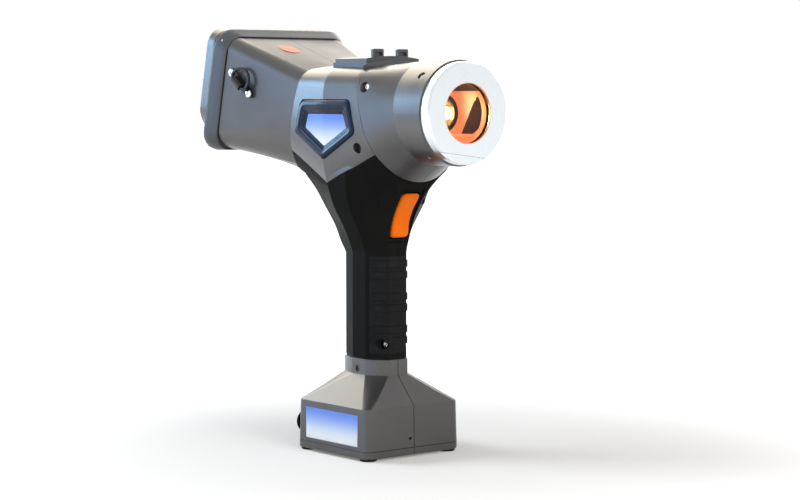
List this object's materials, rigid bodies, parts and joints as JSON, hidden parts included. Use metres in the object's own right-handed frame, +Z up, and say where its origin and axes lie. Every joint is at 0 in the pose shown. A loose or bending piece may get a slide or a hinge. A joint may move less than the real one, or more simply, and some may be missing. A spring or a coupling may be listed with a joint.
{
  "type": "portable near-infrared analyzer",
  "caption": "Pistol-shaped hand-held near-infrared analyzer on a battery foot, with a round window in the nose, a rear display, a trigger and strap rings.",
  "frame": {"origin": "on the plane that the feet stand on, under the middle of the handle", "axes": "+X towards the nose, +Z up, -Y is the side with the blue plates"},
  "size_m": [0.2841, 0.1384, 0.3568],
  "materials": {
    "grey_shell": "satin grey metallic paint",
    "black_shell": "semi-gloss black",
    "grip_rubber": "matt black",
    "foot_rubber": "matt black",
    "seal_rubber": "matt black",
    "orange_plastic": "satin orange",
    "nose_metal": "fine satin",
    "screw_metal": "polished",
    "blue_plate": "printed blue gradient",
    "badge_frame": "glossy blue-black",
    "oval_orange": "printed orange",
    "window_glass": "clear",
    "display_glass": "dark glossy",
    "display": "dark screen",
    "board": "green laminate",
    "switch_black": "black",
    "cell_pack": "wrapped in dark film",
    "machined_aluminium": "machined",
    "chamber_gold": "warm diffuse reflector",
    "lamp_black": "matt black anodised",
    "lamp_mirror": "polished bowl",
    "bulb_glass": "clear",
    "lens_glass": "clear",
    "strap_wire": "satin black",
    "saddle_grey": "satin dark grey",
    "flag_metal": "bead-blasted"
  },
  "bodies": {
    "analyzer": {"base_shell_right": "grey_shell", "base_shell_left": "grey_shell", "base_plate": "grey_shell", "base_feet": "foot_rubber", "base_plate_screws": "screw_metal", "battery_pack": "cell_pack", "base_side_plate": "blue_plate", "collar_seal": "seal_rubber", "body_screws": "screw_metal", "power_button_ring": "black_shell", "power_switch": "switch_black", "socket_covers": "seal_rubber", "handle_shell_right": "black_shell", "handle_shell_left": "black_shell", "front_grip": "grip_rubber", "grip_screw": "screw_metal", "trigger_frame": "black_shell", "trigger_pin": "screw_metal", "trigger_bracket": "switch_black", "trigger_switch": "switch_black", "trigger_spring": "screw_metal", "yoke_shell_right": "grey_shell", "yoke_shell_left": "grey_shell", "badge_frame": "badge_frame", "badge_plate": "blue_plate", "nose_barrel": "grey_shell", "ring_screws": "screw_metal", "nose_ring": "nose_metal", "window_pane": "window_glass", "window_gasket": "seal_rubber", "chamber_liner": "chamber_gold", "lamp_holder": "lamp_black", "lamp_reflector": "lamp_mirror", "lamp_bulb": "bulb_glass", "lens_tube": "lamp_black", "collecting_lens": "lens_glass", "flag_motor": "machined_aluminium", "chamber_baffle": "lamp_black", "head_tray": "switch_black", "spectrometer": "machined_aluminium", "housing_shell_right": "grey_shell", "housing_shell_left": "grey_shell", "oval_badge": "oval_orange", "strap_lugs": "strap_wire", "strap_lug_screws": "screw_metal", "rear_flange": "saddle_grey", "rear_cover": "grey_shell", "display_glass": "display_glass", "display_gasket": "seal_rubber", "display_module": "display", "main_board": "board", "rear_cover_screws": "screw_metal", "saddle_plate_right": "saddle_grey", "saddle_plate_left": "saddle_grey", "accessory_loops": "saddle_grey"},
    "trigger": {"trigger": "orange_plastic"},
    "power_button": {"power_button": "grip_rubber"},
    "strap_ring_right": {"strap_ring_right": "strap_wire"},
    "strap_ring_left": {"strap_ring_left": "strap_wire"},
    "reference_flag": {"reference_flag": "flag_metal"}
  },
  "joints": [
    {"name": "trigger_pull", "type": "hinge", "parent": "analyzer", "child": "trigger", "pos_m": [0.029, 0, 0.211], "axis": [0, 1, 0], "range_deg": [0, 4], "stiffness_Nm_per_rad": 1, "springref_deg": -1.72, "deforming": ["trigger_spring"]},
    {"name": "power_press", "type": "slide", "parent": "analyzer", "child": "power_button", "axis": [1, 0, 0], "range_m": [0, 0.0025], "stiffness_N_per_m": 800, "springref_m": -0.001},
    {"name": "right_strap_swing", "type": "hinge", "parent": "analyzer", "child": "strap_ring_right", "pos_m": [-0.11113, -0.06522, 0.3083], "axis": [0.7288, 0.1452, -0.6691], "range_deg": [0, 180]},
    {"name": "left_strap_swing", "type": "hinge", "parent": "analyzer", "child": "strap_ring_left", "pos_m": [-0.11113, 0.06522, 0.3083], "axis": [-0.7288, 0.1452, 0.6691], "range_deg": [0, 180]},
    {"name": "flag_swing", "type": "hinge", "parent": "analyzer", "child": "reference_flag", "pos_m": [0.085, -0.014, 0.299], "axis": [1, 0, 0], "range_deg": [0, 142]}
  ]
}
